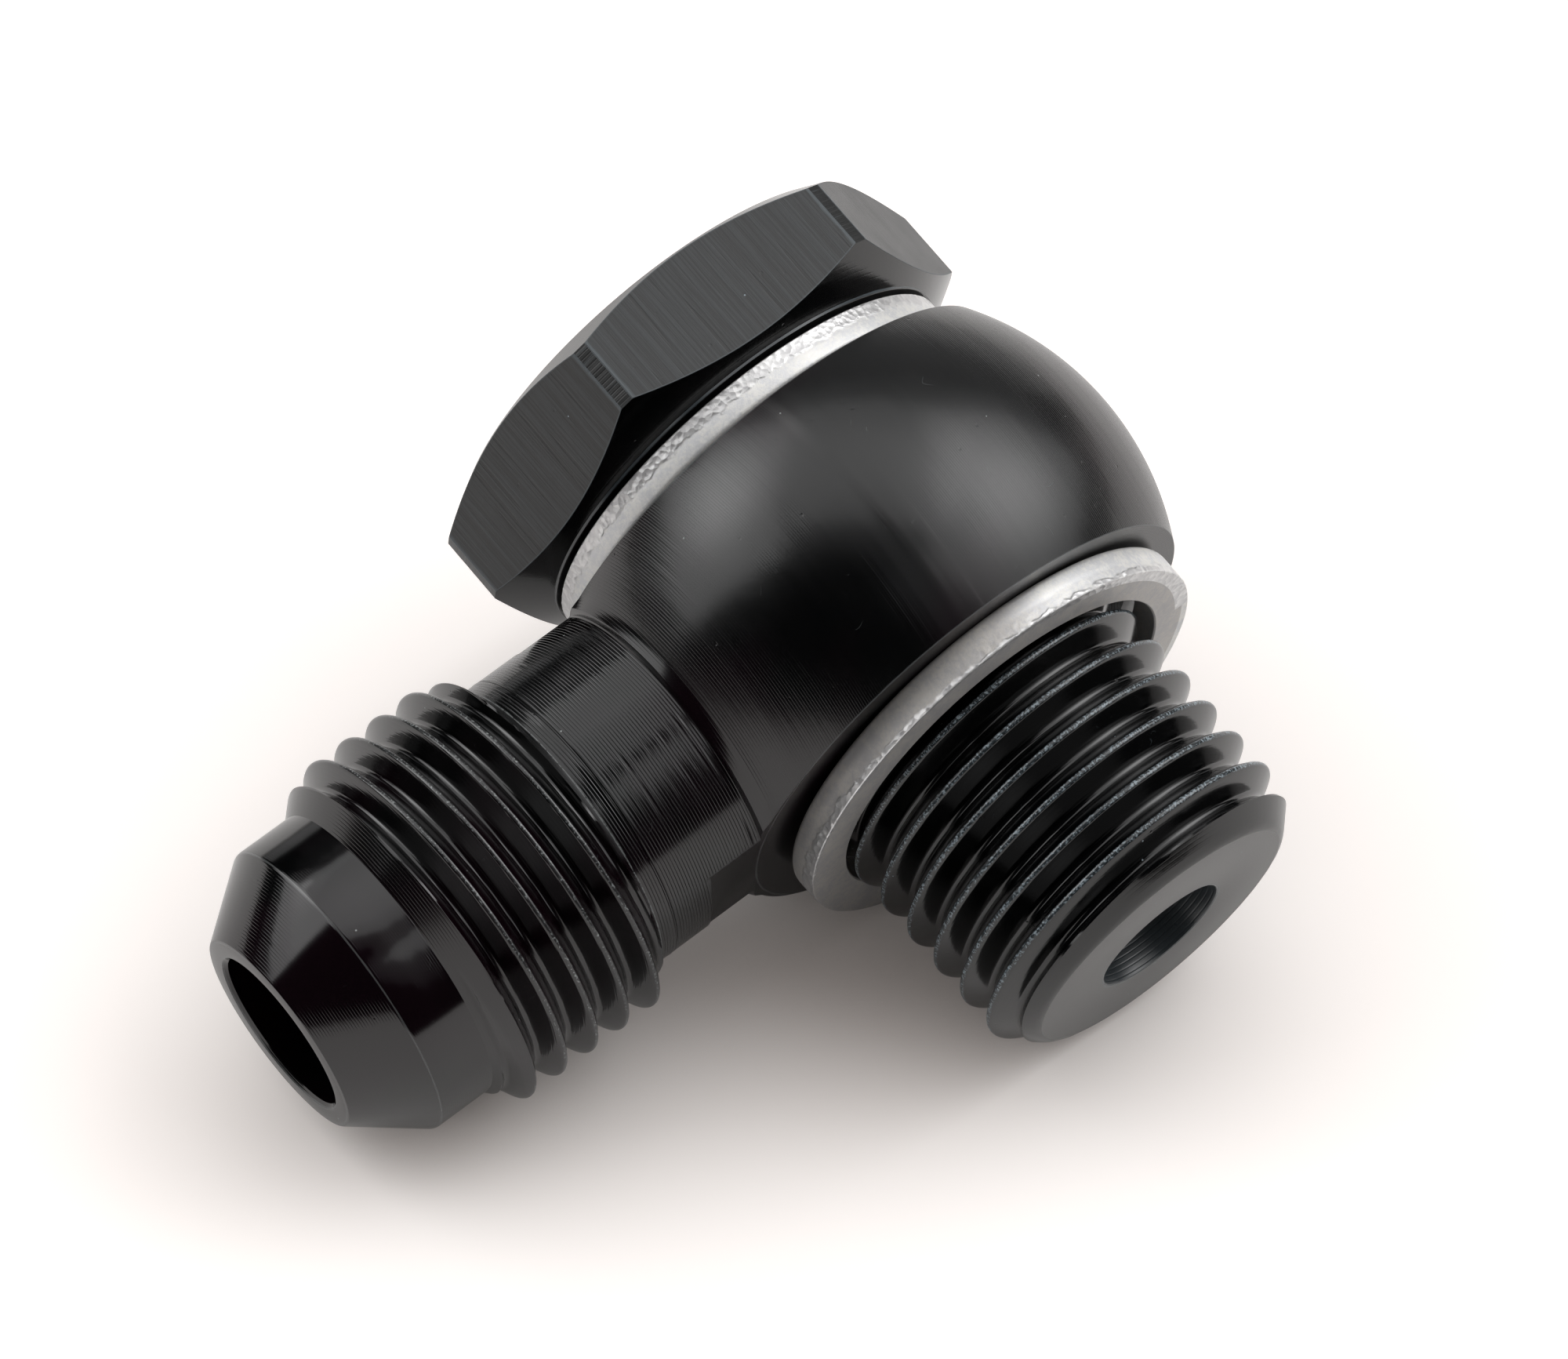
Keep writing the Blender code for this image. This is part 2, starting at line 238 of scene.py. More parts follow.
# Fine rings that a lathe tool leaves: a narrow groove for each turn, over uneven wider bands.
# Depth and waviness are in thousandths of a millimetre.
def makeTurningMarks():
    group, given, result = newGroup(
        "turningMarks",
        [("Along", "NodeSocketFloat", 0.0), ("Feed", "NodeSocketFloat", 0.1),
         ("Depth", "NodeSocketFloat", 0.3), ("Waviness", "NodeSocketFloat", 3.0)],
        [("Height", "NodeSocketFloat"), ("Bands", "NodeSocketFloat")])
    turns = calc(group, "DIVIDE", given["Along"], given["Feed"])
    fromCut = calc(group, "ABSOLUTE", calc(group, "SUBTRACT", calc(group, "FRACT", turns), 0.5))
    cut = ramp(group, fromCut, 0.0, 0.22, -1.0, 0.0)
    fine = bandNoise(group, turns, 0.45, 3.0)
    bands = bandNoise(group, given["Along"], 1.7, 4.0)
    total = calc(group, "MULTIPLY", calc(group, "ADD", cut, fine), given["Depth"])
    total = calc(group, "MULTIPLY_ADD", bands, given["Waviness"], total)
    feed(group, result["Height"], calc(group, "MULTIPLY", total, 1e-6))
    feed(group, result["Bands"], bands)
    return group


# Rubbed edge with a painted highlight, as a small bevel would catch: fades out with the distance from a circle
# of given place and radius
def makeEdgeWearAndHighlight():
    group, given, result = newGroup(
        "edgeWearAndHighlight",
        [("Along", "NodeSocketFloat", 0.0), ("Radius", "NodeSocketFloat", 0.0),
         ("Edge Along", "NodeSocketFloat", 0.0), ("Edge Radius", "NodeSocketFloat", 1.0),
         ("Width", "NodeSocketFloat", 0.06), ("Position", "NodeSocketVector", (0, 0, 0))],
        [("Mask", "NodeSocketFloat")])
    away = calc(group, "SUBTRACT", given["Along"], given["Edge Along"])
    out = calc(group, "SUBTRACT", given["Radius"], given["Edge Radius"])
    gap = calc(group, "SQRT", calc(group, "MULTIPLY_ADD", away, away, calc(group, "MULTIPLY", out, out)))
    patchy = cloudNoise(group, given["Position"], 1.3, 3.0)
    reach = calc(group, "MULTIPLY", given["Width"], calc(group, "MULTIPLY_ADD", patchy, 1.4, 0.3))
    feed(group, result["Mask"], ramp(group, calc(group, "DIVIDE", gap, reach), 0.5, 1.0, 1.0, 0.0))
    return group


# Small light specks of dust and bare metal
def makeSpecks():
    group, given, result = newGroup(
        "specks",
        [("Position", "NodeSocketVector", (0, 0, 0)), ("Density", "NodeSocketFloat", 0.5)],
        [("Mask", "NodeSocketFloat")])
    cells = group.nodes.new("ShaderNodeTexVoronoi")
    cells.inputs["Scale"].default_value = 2.6
    feed(group, cells.inputs["Vector"], given["Position"])
    tone = group.nodes.new("ShaderNodeSeparateColor")
    feed(group, tone.inputs["Color"], cells.outputs["Color"])
    chosen = calc(group, "LESS_THAN", tone.outputs["Red"], given["Density"])
    small = ramp(group, cells.outputs["Distance"], 0.06, 0.11, 1.0, 0.0)
    feed(group, result["Mask"], calc(group, "MULTIPLY", chosen, small))
    return group


# A few short hair scratches, as thin curved lines that come and go
def makeScratches():
    group, given, result = newGroup(
        "scratches", [("Position", "NodeSocketVector", (0, 0, 0))], [("Mask", "NodeSocketFloat")])
    path = cloudNoise(group, given["Position"], 0.55, 1.0)
    line = ramp(group, calc(group, "ABSOLUTE", calc(group, "SUBTRACT", path, 0.47)), 0.0008, 0.0022, 1.0, 0.0)
    gaps = ramp(group, cloudNoise(group, given["Position"], 0.9, 2.0), 0.64, 0.7)
    feed(group, result["Mask"], calc(group, "MULTIPLY", line, gaps))
    return group


# Fine grit that breaks up a worn crest and its painted highlight into sparkles
def makeGrit():
    group, given, result = newGroup(
        "grit",
        [("Position", "NodeSocketVector", (0, 0, 0)), ("Scale", "NodeSocketFloat", 5.0),
         ("Cover", "NodeSocketFloat", 0.5)],
        [("Mask", "NodeSocketFloat")])
    node = group.nodes.new("ShaderNodeTexNoise")
    feed(group, node.inputs["Vector"], given["Position"])
    feed(group, node.inputs["Scale"], given["Scale"])
    node.inputs["Detail"].default_value = 4.0
    node.inputs["Roughness"].default_value = 0.7
    low = calc(group, "SUBTRACT", 1.0, given["Cover"])
    sparkle = ramp(group, node.outputs["Fac"], low, calc(group, "ADD", low, 0.1))
    feed(group, result["Mask"], calc(group, "MULTIPLY_ADD", sparkle, 0.9, 0.1))
    return group


# Tiny dents and pits from handling, as a height in metres
def makeDimples():
    group, given, result = newGroup(
        "dimples", [("Position", "NodeSocketVector", (0, 0, 0))], [("Height", "NodeSocketFloat")])
    cells = group.nodes.new("ShaderNodeTexVoronoi")
    cells.inputs["Scale"].default_value = 1.5
    feed(group, cells.inputs["Vector"], given["Position"])
    tone = group.nodes.new("ShaderNodeSeparateColor")
    feed(group, tone.inputs["Color"], cells.outputs["Color"])
    chosen = calc(group, "LESS_THAN", tone.outputs["Green"], 0.3)
    pit = calc(group, "MULTIPLY", chosen, ramp(group, cells.outputs["Distance"], 0.04, 0.12, -1.0, 0.0))
    skin = cloudNoise(group, given["Position"], 5.0, 4.0, 0.6)
    pit = calc(group, "MULTIPLY", pit, 6.0e-6)
    feed(group, result["Height"], calc(group, "MULTIPLY_ADD", skin, 2.0e-6, pit))
    return group


turningMarks = makeTurningMarks()
edgeWearAndHighlight = makeEdgeWearAndHighlight()
specks = makeSpecks()
scratches = makeScratches()
grit = makeGrit()
dimples = makeDimples()


def useGroup(tree, group, **values):
    node = tree.nodes.new("ShaderNodeGroup")
    node.node_tree = group
    for name, value in values.items():
        label = "".join(" " + letter if letter.isupper() else letter for letter in name).strip().title()
        feed(tree, node.inputs[label], value)
    return node.outputs


# Object coordinates turned back into millimetres along the fitting's own axes
def ownPosition(tree):
    coordinates = tree.nodes.new("ShaderNodeTexCoord")
    mapping = tree.nodes.new("ShaderNodeMapping")
    mapping.vector_type = "TEXTURE"
    mapping.inputs["Location"].default_value = ownAxes.translation
    mapping.inputs["Rotation"].default_value = ownAxes.to_euler()
    mapping.inputs["Scale"].default_value = (0.001, 0.001, 0.001)
    tree.links.new(coordinates.outputs["Object"], mapping.inputs["Vector"])
    split = tree.nodes.new("ShaderNodeSeparateXYZ")
    tree.links.new(mapping.outputs["Vector"], split.inputs["Vector"])
    return mapping.outputs["Vector"], *split.outputs


def radiusOf(tree, first, second):
    squared = calc(tree, "MULTIPLY", second, second)
    return calc(tree, "SQRT", calc(tree, "MULTIPLY_ADD", first, first, squared))


def stretched(tree, vector, factors):
    node = tree.nodes.new("ShaderNodeVectorMath")
    node.operation = "MULTIPLY"
    feed(tree, node.inputs[0], vector)
    node.inputs[1].default_value = factors
    return node.outputs["Vector"]


def largest(tree, values):
    total = values[0]
    for value in values[1:]:
        total = calc(tree, "MAXIMUM", total, value)
    return total


def mixed(tree, factor, low, high):
    node = tree.nodes.new("ShaderNodeMix")
    for name, value in (("Factor", factor), ("A", low), ("B", high)):
        feed(tree, node.inputs[name], value)
    return node.outputs["Result"]


def bumped(tree, shader, height):
    bump = tree.nodes.new("ShaderNodeBump")
    bump.inputs["Strength"].default_value = 1.0
    bump.inputs["Distance"].default_value = 1.0
    feed(tree, bump.inputs["Height"], height)
    tree.links.new(bump.outputs["Normal"], shader.inputs["Normal"])


def newMaterial(name):
    material = bpy.data.materials.new(name)
    material.use_nodes = True
    return material, material.node_tree, material.node_tree.nodes["Principled BSDF"]


# Eye with its neck, threaded stem and flare nose

eyeSizes = {
    "ball": 11.25, "frontBall": 11.24, "toolChange": 1.1, "changeStep": 0.12,
    "flareStart": 52, "flareSteps": 14, "flareCurve": 1.5,
    "shoulderAlong": 9.36, "shoulderRadius": 6.57, "shoulderLip": 0.33, "lipSlope": 35,
    "neckRadius": 6.0, "neckStart": 9.77, "scribedLine": 13.87, "neckEnd": 14.597,
    "facing": 5.5, "facingRadius": 12.3, "facingDepth": 4.0, "hole": 7.2, "holeChamfer": 0.35,
    "pilotStart": 22.371, "pilot": 6.05, "noseStart": 24.671, "noseTip": 4.06, "noseEnd": 27.311,
    "noseSlope": 37,
    "bore": 3.16, "boreChamfer": 0.15, "drillPoint": -1.9, "steps": 240,
}
stemThread = {
    "pitch": 1.411, "crest": 7.14, "phase": 15.65,
    "profile": [(0.0, 0.0), (0.05, 0.008), (0.095, 0.04), (0.135, 0.1), (0.21, 0.225), (0.29, 0.358),
                (0.37, 0.491), (0.45, 0.625), (0.5325, 0.762), (0.5555, 0.797), (0.6055, 0.835),
                (0.6555, 0.856), (0.7055, 0.862)],
    "envelope": [(14.597, 6.0), (15.281, 7.14), (21.281, 7.14), (22.371, 6.05)],
}


def eyeOutlineBack(sizes):
    front, flareStart = sizes["frontBall"], sizes["flareStart"]
    extra = math.hypot(sizes["shoulderAlong"], sizes["shoulderRadius"]) - front
    shoulder = math.degrees(math.atan2(sizes["shoulderRadius"], sizes["shoulderAlong"]))
    flare = []    # the ball swells slightly towards its shoulder
    for step in range(1, sizes["flareSteps"] + 1):
        share = step / sizes["flareSteps"]
        turn = math.radians(flareStart + (shoulder - flareStart) * share)
        reach = front + extra * share ** sizes["flareCurve"]
        flare.append((reach * math.cos(turn), reach * math.sin(turn)))
    change = math.degrees(math.acos(sizes["toolChange"] / sizes["ball"]))
    frontChange = math.degrees(math.acos((sizes["toolChange"] + sizes["changeStep"]) / front))
    line, neck = sizes["scribedLine"], sizes["neckRadius"]
    lip, edge = sizes["shoulderLip"], sizes["shoulderAlong"]
    lipRadius = sizes["shoulderRadius"] - lip * math.tan(math.radians(sizes["lipSlope"]))
    return (
        arc((0, 0), sizes["ball"], 180, change, 60)
        + arc((0, 0), front, frontChange, flareStart, 24) + flare
        + [(edge + lip, lipRadius), (edge + lip + 0.05, lipRadius - 0.1),
           (sizes["neckStart"] - 0.02, neck + 0.05), (sizes["neckStart"] + 0.02, neck), (11.0, neck),
           (12.4, neck), (line - 0.06, neck), (line - 0.02, neck - 0.05), (line + 0.02, neck - 0.05),
           (line + 0.06, neck + 0.012), (line + 0.12, neck + 0.012), (line + 0.16, neck),
           (sizes["neckEnd"], neck)])


def eyeOutlineNose(sizes):
    pilot, nose, tip, end = sizes["pilot"], sizes["noseStart"], sizes["noseTip"], sizes["noseEnd"]
    bore, chamfer = sizes["bore"], sizes["boreChamfer"]
    slope = math.radians(sizes["noseSlope"])
    sideways, inwards = 0.1 * math.cos(slope), 0.1 * math.sin(slope)    # points beside an edge keep it crisp
    return [
        (sizes["pilotStart"], pilot), (23.4, pilot), (nose - 0.1, pilot), (nose - 0.03, pilot - 0.012),
        (nose + sideways * 0.3, pilot - inwards * 0.3 - 0.012), (nose + sideways, pilot - inwards),
        (nose + 1.4, pilot - 1.4 * math.tan(slope)), (end - sideways, tip + inwards), (end - 0.02, tip),
        (end, tip - 0.08), (end, bore + chamfer), (end - chamfer, bore), (20.0, bore), (10.0, bore),
        (0.0, bore), (sizes["drillPoint"], 0.0)]


def makeEye(sizes, thread):
    mesh = bmesh.new()
    addTurned(mesh, eyeOutlineBack(sizes), sizes["steps"])
    addThread(mesh, thread, sizes["steps"])
    addTurned(mesh, eyeOutlineNose(sizes), sizes["steps"])
    for vert in mesh.verts:    # points that nearly reach a spot face slide over the ball onto it
        onBall = vert.co.length > sizes["ball"] - 0.15 and vert.co.z < 8.0
        if onBall and 0.0 < abs(abs(vert.co.x) - sizes["facing"]) < 0.08:
            reach = vert.co.length
            rest = math.sqrt((reach ** 2 - sizes["facing"] ** 2) / (reach ** 2 - vert.co.x ** 2))
            vert.co = (math.copysign(sizes["facing"], vert.co.x), vert.co.y * rest, vert.co.z * rest)
    closeUp(mesh)
    eye = toObject("eye", mesh, alongStem)
    depth = sizes["facingDepth"]
    middle = sizes["facing"] + depth / 2
    cutters = [rodCutter(f"facing{side}", sizes["facingRadius"], depth, (side * middle, 0, 0), alongBolt,
                         sizes["steps"]) for side in (-1, 1)]
    hole = bmesh.new()
    wide = sizes["facing"] + 1.0
    chamfer = sizes["holeChamfer"]
    outline = [(-wide, 0.0)]
    for side in (-1, 1):
        rim = [(side * wide, sizes["hole"] + chamfer + 1.0),
               (side * sizes["facing"], sizes["hole"] + chamfer),
               (side * (sizes["facing"] - chamfer), sizes["hole"])]
        outline += rim if side < 0 else reversed(rim)
    outline.append((wide, 0.0))
    addTurned(hole, outline, 192)
    closeUp(hole)
    cutters.append(toObject("boltHole", hole, alongBolt))
    cutAway(eye, cutters)
    return eye


eyeFinish = {
    "black": (0.0008, 0.0009, 0.001, 1), "paintedPinkReflection": (0.0044, 0.0012, 0.0026, 1), "bare": (0.33, 0.35, 0.35, 1),
    "ior": 1.66, "faceRoughness": 0.27, "wornRoughness": 0.25,
    "faceFrom": 5.47, "faceEnd": 12.2, "neckFrom": 9.8, "neckEnd": 14.45, "crestFrom": 14.9,
    "stemFade": (9.2, 9.4), "noseFade": (22.2, 22.4), "crestFade": (7.105, 7.14),
    "ballMarks": {"feed": 0.085, "depth": 2.4, "waviness": 8.0},
    "neckMarks": {"feed": 0.126, "depth": 12.0, "waviness": 4.0},
    "noseMarks": {"feed": 0.09, "depth": 1.3, "waviness": 2.5},
    "faceMarks": {"feed": 0.13, "depth": 1.0, "waviness": 3.0},
    "facingRim": {"edgeAlong": 5.5, "edgeRadius": 9.81, "width": 0.05},
    "noseRims": [{"edgeAlong": 24.66, "edgeRadius": 6.03, "width": 0.04},
                 {"edgeAlong": 27.3, "edgeRadius": 3.96, "width": 0.05},
                 {"edgeAlong": 27.3, "edgeRadius": 3.3, "width": 0.08}],
    "burr": {"edgeAlong": 14.62, "edgeRadius": 6.01, "width": 0.07}, "burrGrit": {"scale": 9.0, "cover": 0.6},
    "crestGrit": {"scale": 9.0, "cover": 0.46}, "speckDensity": 0.02,
    "rimWearAndHighlight": 0.2, "burrWear": 0.45, "crestWearAndHighlight": 0.8, "scratchWear": 0.12,
}


def eyeMaterial(finish):
    material, tree, shader = newMaterial("blackAnodisedEye")
    position, x, y, z = ownPosition(tree)
    along = calc(tree, "MULTIPLY", y, -1.0)
    stemRadius = radiusOf(tree, x, z)
    boltRadius = radiusOf(tree, y, z)
    side = calc(tree, "ABSOLUTE", x)
    onFace = calc(tree, "MULTIPLY", calc(tree, "GREATER_THAN", side, finish["faceFrom"]),
                  calc(tree, "LESS_THAN", along, finish["faceEnd"]))
    onStem = ramp(tree, along, *finish["stemFade"])
    onNose = ramp(tree, along, *finish["noseFade"])
    onNeck = calc(tree, "MULTIPLY", calc(tree, "GREATER_THAN", along, finish["neckFrom"]),
                  calc(tree, "LESS_THAN", along, finish["neckEnd"]))

    ballMarks = useGroup(tree, turningMarks, along=along, **finish["ballMarks"])
    neckMarks = useGroup(tree, turningMarks, along=along, **finish["neckMarks"])
    noseMarks = useGroup(tree, turningMarks, along=along, **finish["noseMarks"])
    faceMarks = useGroup(tree, turningMarks, along=boltRadius, **finish["faceMarks"])
    marks = mixed(tree, onStem, ballMarks["Height"], noseMarks["Height"])
    marks = mixed(tree, onNeck, marks, neckMarks["Height"])
    marks = mixed(tree, onFace, marks, faceMarks["Height"])
    pits = useGroup(tree, dimples, position=position)["Height"]
    pitShare = calc(tree, "MULTIPLY_ADD", onStem, -0.75, 1.0)    # the pits are shallower on the stem
    bumped(tree, shader, calc(tree, "ADD", marks, calc(tree, "MULTIPLY", pits, pitShare)))

    # The rubbed rims carry a painted edge highlight, partly wear
    rims = [useGroup(tree, edgeWearAndHighlight, along=side, radius=boltRadius, position=position,
                     **finish["facingRim"])["Mask"]]
    for rim in finish["noseRims"]:
        rims.append(useGroup(tree, edgeWearAndHighlight, along=along, radius=stemRadius, position=position,
                             **rim)["Mask"])
    burr = useGroup(tree, edgeWearAndHighlight, along=along, radius=stemRadius, position=position,
                    **finish["burr"])["Mask"]
    burrGrit = useGroup(tree, grit, position=position, **finish["burrGrit"])["Mask"]
    burr = calc(tree, "MULTIPLY", burr, burrGrit)
    # The stem thread crests get a painted highlight, partly wear, broken up by grit
    crestGrit = useGroup(tree, grit, position=position, **finish["crestGrit"])["Mask"]
    crest = ramp(tree, stemRadius, *finish["crestFade"])
    crest = calc(tree, "MULTIPLY", crest, calc(tree, "GREATER_THAN", along, finish["crestFrom"]))
    crest = calc(tree, "MULTIPLY", crest, crestGrit)
    lines = useGroup(tree, scratches, position=position)["Mask"]
    # Wear, dust and scratches, plus painted highlights on the rims and thread crests, lighten the black
    # towards one pale colour
    wearAndHighlight = largest(tree, [
        calc(tree, "MULTIPLY", largest(tree, rims), finish["rimWearAndHighlight"]),
        calc(tree, "MULTIPLY", burr, finish["burrWear"]),
        calc(tree, "MULTIPLY", crest, finish["crestWearAndHighlight"]),
        useGroup(tree, specks, position=position, density=finish["speckDensity"])["Mask"],
        calc(tree, "MULTIPLY", lines, finish["scratchWear"])])
    # Faint pink patches in the black are a painted reflection
    pinkReflectionPatches = ramp(tree, cloudNoise(tree, position, 0.13, 2.0), 0.44, 0.62)
    black = blend(tree, pinkReflectionPatches, finish["black"], finish["paintedPinkReflection"])
    feed(tree, shader.inputs["Base Color"], blend(tree, wearAndHighlight, black, finish["bare"]))

    smudge = cloudNoise(tree, position, 0.35, 4.0)
    ballRough = calc(tree, "MULTIPLY_ADD", smudge, 0.12, 0.12)
    rough = calc(tree, "MULTIPLY_ADD", ballMarks["Bands"], 0.06, ballRough)
    rough = mixed(tree, onStem, rough, calc(tree, "MULTIPLY_ADD", smudge, 0.06, 0.11))
    rough = mixed(tree, onNose, rough, calc(tree, "MULTIPLY_ADD", smudge, 0.06, 0.065))
    rough = mixed(tree, onFace, rough, finish["faceRoughness"])
    rough = calc(tree, "MULTIPLY_ADD", wearAndHighlight, finish["wornRoughness"], rough)
    feed(tree, shader.inputs["Roughness"], rough)
    shader.inputs["IOR"].default_value = finish["ior"]
    return material


eye = makeEye(eyeSizes, stemThread)
finishPiece(eye, "banjo_eye", "eye", eyeMaterial(eyeFinish))


# Bolt with its hexagon head

boltSizes = {
    "flats": 19.0, "turn": 2.3, "top": -12.14, "topRadius": 9.3, "cornerTop": -11.21, "cornerBottom": -8.46,
    "corner": 10.8, "seatEdge": -7.36, "seat": -7.24, "collar": 8.9, "shank": 6.9, "fillet": 0.25,
    "dishRadius": 7.2, "dishFloor": -10.34, "dishEdge": 5.15, "waist": 5.3, "waistHalf": 3.7, "waistCone": 0.7,
    "threadStart": 4.1, "tip": 16.55, "tipRadius": 5.62, "bore": 2.6, "boreEdge": 0.12, "boreEnd": -7.0,
    "drillSlope": 59, "crossHole": 2.0, "crossLength": 20.0, "tubeWall": 5.0, "steps": 216,
}
boltThread = {
    "pitch": 1.5, "crest": 6.9, "phase": 9.84,
    "profile": [(0.0, 0.0), (0.055, 0.01), (0.105, 0.045), (0.15, 0.11), (0.22, 0.228), (0.3, 0.363),
                (0.38, 0.498), (0.46, 0.633), (0.54, 0.768), (0.568, 0.815), (0.6, 0.857), (0.65, 0.895),
                (0.7, 0.914), (0.75, 0.92)],
    "envelope": [(4.1, 5.3), (5.2, 6.4), (5.9, 6.9), (15.3, 6.9), (15.42, 6.86), (16.3, 5.99),
                 (16.42, 5.85), (16.5, 5.73), (16.53, 5.62)],
}


def boltOutlineHead(sizes):
    fillet, floor = sizes["fillet"], sizes["dishFloor"]
    half = sizes["waistHalf"]
    return [
        (floor, 0.0), (floor, 2.0), (floor, sizes["dishEdge"] - 0.1), (floor, sizes["dishEdge"]),
        (floor - 0.04, sizes["dishEdge"] + 0.14), (floor - 0.12, sizes["dishEdge"] + 0.26),
        (floor - 0.19, sizes["dishEdge"] + 0.34), (sizes["top"], sizes["dishRadius"]),
        (sizes["top"], sizes["topRadius"]),
        (sizes["cornerTop"], sizes["corner"]), (sizes["cornerBottom"], sizes["corner"]),
        (sizes["seatEdge"] - 0.02, sizes["collar"] + 0.035), (sizes["seatEdge"], sizes["collar"]),
        (sizes["seat"] - 0.02, sizes["collar"]), (sizes["seat"], sizes["collar"] - 0.02),
        (sizes["seat"], sizes["shank"] + fillet + 0.6),
        *arc((sizes["seat"] + fillet, sizes["shank"] + fillet), fillet, -180, -90, 5),
        (-5.5, sizes["shank"]), (-half - sizes["waistCone"], sizes["shank"]), (-half, sizes["waist"]),
        (0.0, sizes["waist"]), (half, sizes["waist"]), (sizes["threadStart"], sizes["waist"])]


def boltOutlineTip(sizes):
    tip, bore, edge = sizes["tip"], sizes["bore"], sizes["boreEdge"]
    point = sizes["boreEnd"] - bore / math.tan(math.radians(sizes["drillSlope"]))
    return [
        (tip - 0.02, sizes["tipRadius"]), (tip, 5.5), (tip, 4.5), (tip, bore + edge),
        (tip - edge * 0.3, bore + edge * 0.25), (tip - edge, bore), (10.0, bore), (2.5, bore), (-2.5, bore),
        (sizes["boreEnd"], bore), (point, 0.0)]


def makeBolt(sizes, thread):
    mesh = bmesh.new()
    addTurned(mesh, boltOutlineHead(sizes), sizes["steps"])
    addThread(mesh, thread, sizes["steps"])
    addTurned(mesh, boltOutlineTip(sizes), sizes["steps"])
    closeUp(mesh)
    bolt = toObject("bolt", mesh, alongBolt)

    # What lies outside the hexagon is cut off with a six-sided tube.
    turn = math.radians(sizes["turn"])
    tube = bmesh.new()
    across = sizes["flats"] / math.sqrt(3)
    for radius in (across, across + sizes["tubeWall"]):
        bmesh.ops.create_circle(tube, cap_ends=False, radius=radius, segments=6)
    bmesh.ops.bridge_loops(tube, edges=tube.edges)
    wall = bmesh.ops.extrude_face_region(tube, geom=tube.faces[:])["geom"]
    raised = [item for item in wall if isinstance(item, bmesh.types.BMVert)]
    low, high = sizes["top"] - 1.0, sizes["seatEdge"] - 0.01
    bmesh.ops.translate(tube, verts=raised, vec=(0, 0, high - low))
    bmesh.ops.recalc_face_normals(tube, faces=tube.faces)
    hexTurn = Matrix.Rotation(math.radians(30) - turn, 4, "Z")
    cutters = [toObject("hexTube", tube, alongBolt @ hexTurn @ Matrix.Translation((0, 0, low)))]
    for quarter in (0, 90):
        spin = Matrix.Rotation(math.radians(quarter) - turn, 4, "X")
        cutters.append(rodCutter(f"crossHole{quarter}", sizes["crossHole"], sizes["crossLength"], (0, 0, 0),
                                 spin, 48))
    cutAway(bolt, cutters)
    return bolt


boltFinish = {
    "black": (0.0008, 0.0009, 0.0011, 1), "paintedEndReflection": (0.15, 0.145, 0.142, 1), "bare": (0.3, 0.36, 0.4, 1),
    "ior": 1.66, "bandRoughness": 0.38, "endRoughness": 0.36, "boreRoughness": 0.28, "wornRoughness": 0.25,
    "turned": {"feed": 0.12, "depth": 0.5, "waviness": 2.0},
    "banded": {"feed": 0.17, "depth": 2.5, "waviness": 22.0},
    "faced": {"feed": 0.12, "depth": 0.35, "waviness": 1.5},
    "bored": {"feed": 0.22, "depth": 5.0, "waviness": 12.0},
    "grain": (0.16, 7.5, 7.5), "scores": (0.1, 3.2, 3.2), "ticks": (6.0, 0.5, 0.5),
    "grainDepth": 1.3e-5, "scoreDepth": -4.0e-6, "seatSlope": 0.58, "topSlope": 0.62,
    "crestFade": (6.84, 6.895), "crestFrom": 5.0, "crestEnd": 7.0, "crestGrit": {"scale": 9.0, "cover": 0.5},
    "crestWearAndHighlight": 0.9, "tickWear": 0.07, "collarWear": 0.2, "boreEdgeWear": 0.15, "rimWearAndHighlight": 0.22,
    "streakWear": 0.06, "boreWear": 0.12, "scratchWear": 0.1, "speckDensity": 0.015,
}


